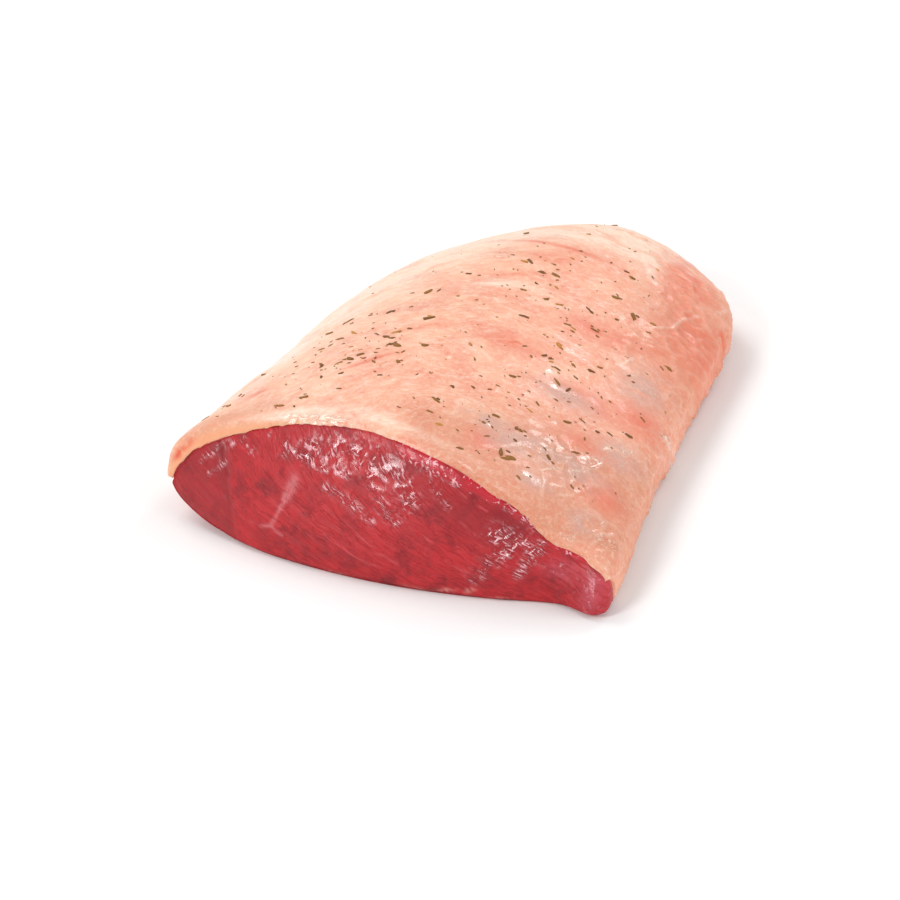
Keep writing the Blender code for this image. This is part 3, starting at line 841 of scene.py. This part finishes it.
def makeLean():
    bm = block(lean["cells"])
    x, y, z, onCut, covered = leanPlaces(*gridPlaces(bm))
    moveTo(bm, x, y, z)
    piece = newPiece("lean_beef", bm, leanMaterial())
    mesh = piece.data
    places = meshPlaces(mesh)
    relief = lean["relief"]
    grain, run = fibres(x, z)
    grain = grain + cloud(places, 0.017) * 0.004
    grainPlaces = np.stack((grain, run, y * 0.5), axis=1)
    wet = strands(x, z, lean["wet"]) * onCut
    thread = strands(x, z, lean["threads"]) * onCut * rise(cloud(places, 0.005, 6), -0.4, 0.1)
    uneven = cloud(places, 0.0045, 10) * 0.0016
    fromFold = nearPath(x + uneven, z, lean["fold"])
    fold = np.exp(-((fromFold / lean["foldWidth"]) ** 2)) * onCut * rise(z, 0.006, 0.018)
    lobe = rise(-x - 0.25 * z + cloud(places, 0.006, 9) * 0.003, 0.0545, 0.0610) * onCut
    recess = spots(x, z, lean["recess"]) * onCut
    aboveLip = z - np.interp(x, *zip(*lean["lip"])) + cloud(places, 0.006, 7) * 0.0006
    band = rise(aboveLip, -0.0008, 0.0010) * rise(x, 0.002, 0.012) * onCut
    sinew = strands(x, z, lean["sinews"]) * onCut
    scrap = spots(x, z, lean["scraps"]) * onCut
    heights = cloud(places, 0.020, 1) * relief["swell"]
    heights = heights + cloud(grainPlaces, (0.0055, 0.030, 0.030), 2) * relief["bundles"]
    heights = heights + cloud(grainPlaces, (0.0026, 0.014, 0.014), 3) * relief["fibres"]
    strokes = cloud(grainPlaces, (0.0090, 0.0013, 0.0040), 4)
    strokes = strokes + 0.7 * cloud(places, (0.0022, 0.004, 0.0022), 5)
    heights = heights + wet * strokes * relief["wet"]
    heights = heights - fold * relief["fold"] - lobe * relief["lobe"] - recess * relief["recess"]
    heights = heights + band * relief["band"] + scrap * relief["scrap"]
    layOn(mesh, heights * (1 - covered * (1 - onCut)) * rise(z, 0, 0.002))
    paint(mesh, "sinew", sinew)
    paint(mesh, "thread", thread)
    # painted shade for the fold groove, the sunken left lobe and the recess
    paint(mesh, "shade", np.clip(fold * 0.5 + lobe * 0.5 + recess * 0.7, 0, 1))
    # wet patches: glossier and rippled, and their ripple crests also carry painted highlights
    paint(mesh, "wet", np.clip(wet * rise(strokes, -0.5, 0.3) * 1.3, 0, 1))
    paint(mesh, "band", band)
    paint(mesh, "silver", spots(x, z, lean["silver"]) * rise(-y, 0.100, 0.112))
    paint(mesh, "scrap", scrap * rise(cloud(places, 0.0012, 8), -0.3, 0.3))
    print("lean:", len(mesh.polygons), "faces")
    return piece


# Dried herb flakes
herbs = {
    # across, share of the length, spread and reach of each sprinkle, and its share
    "sprinkles": (
        (0.15, 0.42, 0.50, 0.26, 0.35),
        (-0.40, 0.26, 0.17, 0.08, 0.17),
        (0.12, 0.66, 0.18, 0.09, 0.06),
        (0.48, 0.60, 0.16, 0.10, 0.08),
        (0.50, 0.34, 0.20, 0.10, 0.12),
        (0.42, 0.14, 0.22, 0.07, 0.16),
        (-0.65, 0.12, 0.16, 0.07, 0.06),
    ),
    "seed": 24,
    "count": 330,
    "length": (0.0013, 0.0060),
    "smallness": 2.4,                # the higher, the fewer large ones
    "slimness": (0.28, 0.55),
    "thickness": 0.0004,
    "turn": 0.6,
    "sides": 8,
    "jag": (0.45, 1.2),
    "curl": (-0.10, 0.25),
    "topShare": 0.85,
    "crumbs": 150,
    "crumbLength": (0.0005, 0.0012),
    "dark": tone(120, 78, 38),
    "olive": tone(152, 104, 46),
    "ochre": tone(200, 138, 60),
}


def herbMaterial():
    finish = {"Roughness": 0.7, "Specular IOR Level": 0.3}
    material, shader, place = newMaterial("dried herb", finish)
    kind, grit = place.painted("kind"), place.noise(1500, 2.0)
    colour = kind.span(0.1, 0.75).mix(herbs["dark"], herbs["olive"])
    colour = kind.span(0.86, 0.93).mix(colour, herbs["ochre"])
    colour = (grit.span(0.45, 0.7) * 0.5).mix(colour, herbs["dark"])
    plug(colour, shader, "Base Color")
    plug(bump(grit, 0.0003, 0.6), shader, "Normal")
    return material


def sprinkle(count, lengths, seed):
    draw = random.Random(seed)
    flakes = []
    for across, length, spread, reach, share in herbs["sprinkles"]:
        for index in range(round(count * share)):
            place = across + draw.gauss(0, spread)
            back = length + draw.gauss(0, reach)
            turn = draw.gauss(0, herbs["turn"])
            size = blend(lengths, draw.random() ** herbs["smallness"])
            slim = blend(herbs["slimness"], draw.random())
            if abs(place) < 0.97 and 0.015 < back < 0.95:
                flakes.append((place, back, turn, size, size * slim))
    return flakes


def hideFrame(across, length, turn, step=0.01):
    power = slab["roundnessAbove"][across > 0]
    angle = math.acos(math.copysign(abs(across) ** (power / 2), across))
    here, roundIt, back = (
        Vector(np.array(onHide(np.array(a), np.array(b), 0.0)))
        for a, b in ((angle, length), (angle - step, length), (angle, length + step))
    )
    outward = (roundIt - here).cross(back - here).normalized()
    return here, Matrix.Rotation(turn, 3, outward) @ (roundIt - here).normalized()


def makeHerbs(cover):
    surface = BVHTree.FromObject(cover, bpy.context.evaluated_depsgraph_get())
    draw = random.Random(herbs["seed"])
    bm = bmesh.new()
    layer = bm.verts.layers.float.new("kind")
    flakes = sprinkle(herbs["count"], herbs["length"], herbs["seed"])
    crumbs = sprinkle(herbs["crumbs"], herbs["crumbLength"], herbs["seed"] + 1)
    for across, back, turn, length, width in flakes + crumbs:
        here, first = hideFrame(across, back, turn)
        place, outward = surface.find_nearest(here)[:2]
        first = (first - first.dot(outward) * outward).normalized()
        axes = Matrix((first, outward.cross(first), outward)).transposed()
        leaf = bmesh.ops.create_circle(bm, cap_ends=True, segments=herbs["sides"], radius=1)
        leaf = leaf["verts"]
        for vert in leaf:
            vert.co *= draw.uniform(*herbs["jag"])
        curl = draw.uniform(*herbs["curl"])
        bottom = leaf[0].link_faces[0]
        top = bmesh.ops.extrude_face_region(bm, geom=[bottom])["geom"]
        top = [part for part in top if isinstance(part, bmesh.types.BMVert)]
        for vert in leaf:
            vert.co.z -= 0.5
        for vert in top:
            vert.co.z += 0.5
            vert.co.xy *= herbs["topShare"]
        kind = draw.random()
        for vert in (*leaf, *top):
            local = Vector((vert.co.x * length / 2, vert.co.y * width / 2,
                            vert.co.z * herbs["thickness"] + curl * abs(vert.co.x) * width))
            vert.co = place + axes @ local
            vert[layer] = kind
    piece = newPiece("herb_flakes", bm, herbMaterial())
    print("herb flakes:", len(flakes), "and crumbs:", len(crumbs))
    return piece


# Studio: a plain pale floor, soft lights and the camera
studio = {
    "floor": tone(247, 246, 245),
    "floorReach": 3,
    "floorGap": 0.0002,
    "world": (0.95, 0.97, 1.0, 1.0),
    "worldStrength": 0.47,
    # place, aim, size, watts, colour
    "lights": (
        ((-0.95, 0.55, 1.15), (0, 0, 0.02), 0.90, 12, (1.0, 0.985, 0.96)),
        ((-0.45, -1.05, 0.75), (0, -0.10, 0.03), 0.40, 7.5, (1.0, 1.0, 1.0)),
        ((1.15, -0.10, 0.50), (0, 0, 0.02), 0.90, 7, (1.0, 0.99, 0.98)),
        ((0.35, 1.10, 0.85), (0.05, 0, 0.03), 0.25, 3, (1.0, 1.0, 1.0)),
    ),
    "lens": 176,
    "azimuth": 19,
    "elevation": 28.27,
    "distance": 1.760,
    "aim": (-0.0054, -0.0220, 0.0),
}


def makeFloor():
    bm = bmesh.new()
    bmesh.ops.create_grid(bm, x_segments=4, y_segments=4, size=studio["floorReach"])
    bmesh.ops.translate(bm, verts=bm.verts, vec=(0, 0, cadBox[0][2] - studio["floorGap"]))
    finish = {"Roughness": 0.9, "Specular IOR Level": 0.1}
    material, shader = newMaterial("studio floor", finish)[:2]
    shader.inputs["Base Color"].default_value = studio["floor"]
    newPiece("studio_floor", bm, material)


def lookAt(obj, place, aim):
    obj.location = place
    obj.rotation_euler = (Vector(aim) - Vector(place)).to_track_quat("-Z", "Y").to_euler()


def lightUp():
    world = bpy.data.worlds.new("studio")
    world.use_nodes = True
    world.node_tree.nodes["Background"].inputs["Color"].default_value = studio["world"]
    world.node_tree.nodes["Background"].inputs["Strength"].default_value = studio["worldStrength"]
    bpy.context.scene.world = world
    for index, (place, aim, size, watts, colour) in enumerate(studio["lights"]):
        lamp = bpy.data.lights.new(f"softbox_{index}", "AREA")
        lamp.size, lamp.energy, lamp.color = size, watts, colour
        light = bpy.data.objects.new(lamp.name, lamp)
        bpy.context.scene.collection.objects.link(light)
        lookAt(light, place, aim)


def placeCamera():
    azimuth, elevation = math.radians(studio["azimuth"]), math.radians(studio["elevation"])
    away = Vector((math.sin(azimuth) * math.cos(elevation),
                   -math.cos(azimuth) * math.cos(elevation), math.sin(elevation)))
    data = bpy.data.cameras.new("camera")
    data.lens, data.sensor_width = studio["lens"], 36
    data.clip_end = 20
    camera = bpy.data.objects.new("camera", data)
    bpy.context.scene.collection.objects.link(camera)
    aim = Vector(studio["aim"])
    lookAt(camera, aim + away * studio["distance"], aim)
    bpy.context.scene.camera = camera


def main():
    bpy.context.scene.view_settings.view_transform = "Standard"
    placeCamera()
    lightUp()
    makeFloor()
    cover = makeFatCover()
    meat = makeLean()
    flakes = makeHerbs(cover)
    for piece in (cover, meat, flakes):
        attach(piece, "root")
    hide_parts("fat_cap")
    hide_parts("lean")


main()
